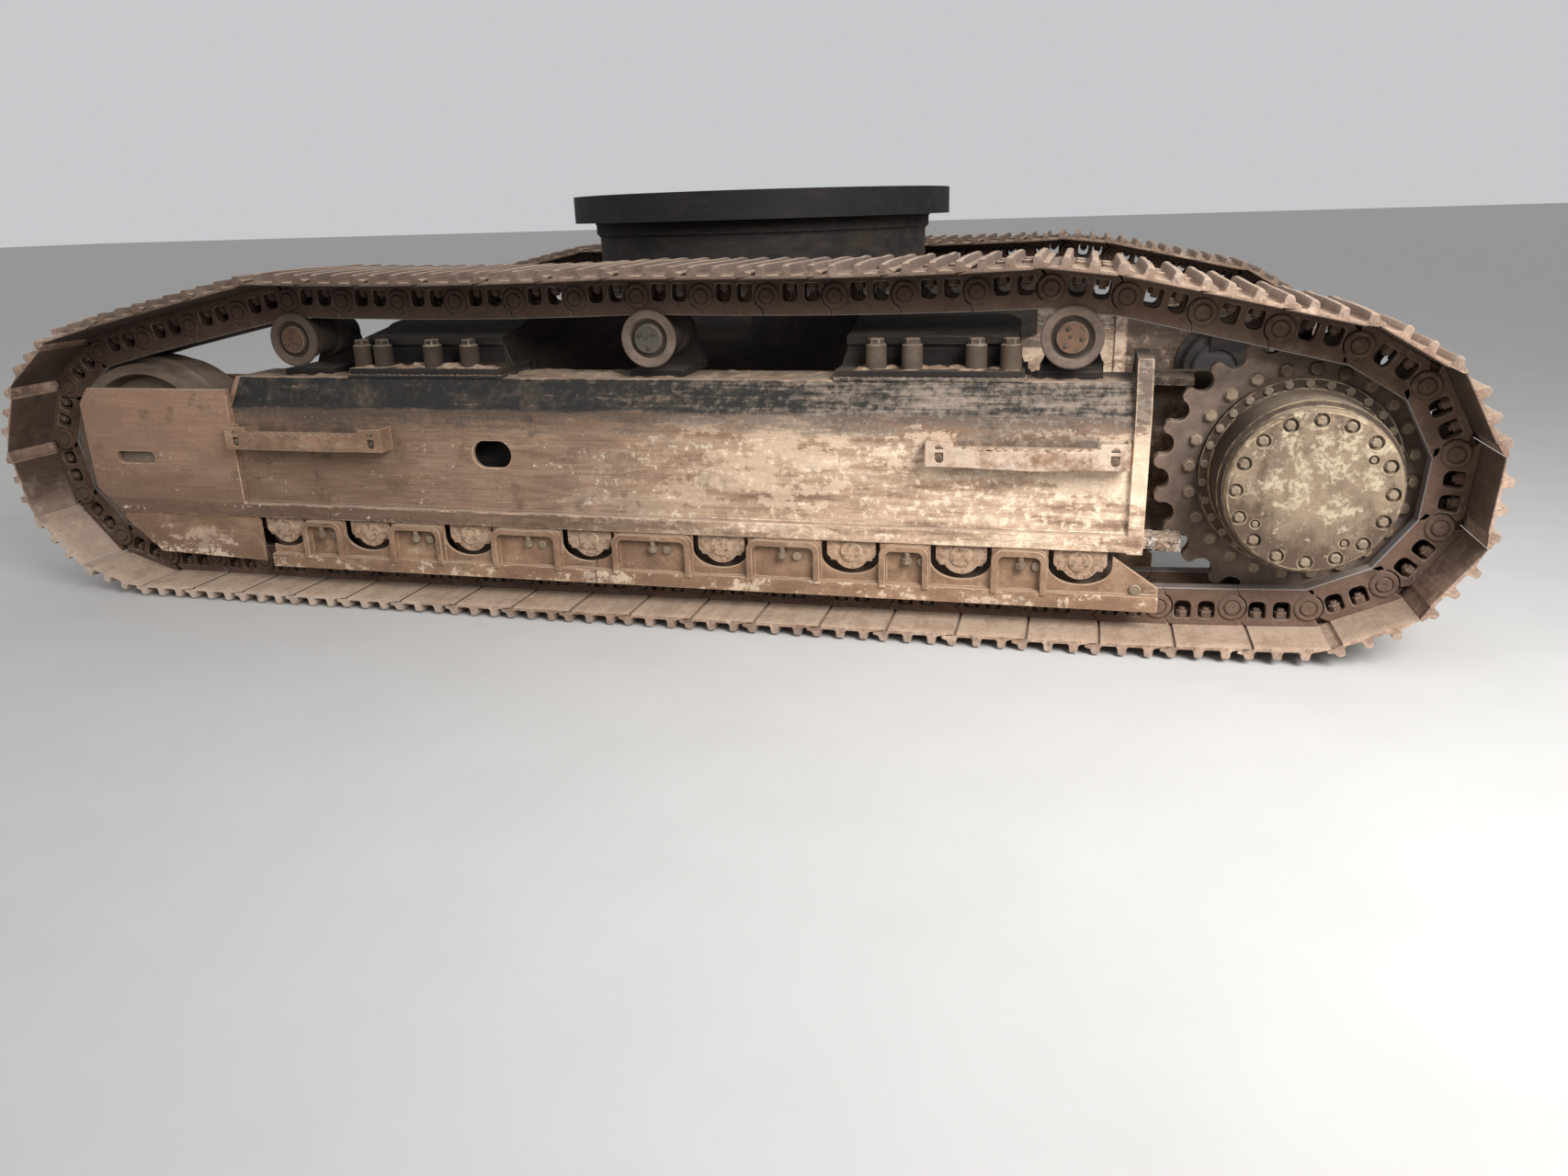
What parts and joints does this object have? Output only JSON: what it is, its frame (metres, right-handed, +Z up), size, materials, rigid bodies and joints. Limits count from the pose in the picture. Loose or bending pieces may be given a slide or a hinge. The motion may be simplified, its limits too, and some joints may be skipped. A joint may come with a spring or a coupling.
{
  "type": "crawler undercarriage of an excavator",
  "caption": "Crawler undercarriage: two track sides with triple-grouser shoes on an X-shaped carbody that carries a slewing ring, for a large excavator's upper structure.",
  "frame": {"origin": "on the ground under the slewing axis, midway between the two tracks", "axes": "+X forward, towards the idlers; +Y to the machine's left; +Z up, along the slewing axis"},
  "size_m": [5.0227, 3.34, 1.388],
  "materials": {
    "frame_tan": "worn paint under dried mud",
    "frame_black": "dusty black paint",
    "guard_tan": "mud-caked plate, scuffed on its edges",
    "drive_tan": "worn paint with dust",
    "shoe_steel": "muddy rolled steel",
    "link_steel": "reddish brown with bare running faces",
    "cast_brown": "brown, dusty casting",
    "cast_dark": "dark oily casting",
    "bearing_steel": "machined steel, oiled and dusty",
    "bolt_steel": "dull, dusty bolts"
  },
  "bodies": {
    "undercarriage": {"carbody": "frame_black", "ring_pedestal": "frame_black", "legs_left": "frame_black", "legs_right": "frame_black", "belly_plate": "frame_black", "slew_inner_race": "bearing_steel", "swivel_body": "cast_dark", "side_frame_left": "frame_tan", "side_frame_right": "frame_tan", "track_left": "shoe_steel", "track_right": "shoe_steel", "track_links_left": "link_steel", "track_links_right": "link_steel", "sprocket_left": "cast_brown", "sprocket_right": "cast_brown", "final_drive_left": "drive_tan", "final_drive_right": "drive_tan", "travel_motor_left": "cast_dark", "travel_motor_right": "cast_dark", "motor_guard_left": "frame_black", "motor_guard_right": "frame_black", "idler_left": "cast_brown", "idler_right": "cast_brown", "idler_yoke_left": "cast_brown", "idler_yoke_right": "cast_brown", "track_adjuster_left": "cast_dark", "track_adjuster_right": "cast_dark", "track_rollers_left": "cast_brown", "track_rollers_right": "cast_brown", "roller_collars_left": "cast_brown", "roller_collars_right": "cast_brown", "carrier_rollers_left": "cast_brown", "carrier_rollers_right": "cast_brown", "carrier_brackets_left": "frame_black", "carrier_brackets_right": "frame_black", "outer_guard_left": "guard_tan", "outer_guard_right": "guard_tan", "inner_guard_left": "guard_tan", "inner_guard_right": "guard_tan", "steps_left": "guard_tan", "steps_right": "guard_tan", "joint_bolts_left": "bolt_steel", "joint_bolts_right": "bolt_steel"},
    "slewing_race": {"slew_outer_race": "bearing_steel", "swivel_rotor": "cast_dark"}
  },
  "joints": [
    {"name": "slewing", "type": "hinge", "parent": "undercarriage", "child": "slewing_race", "pos_m": [0, 0, 1.336], "axis": [0, 0, 1], "continuous": true}
  ]
}
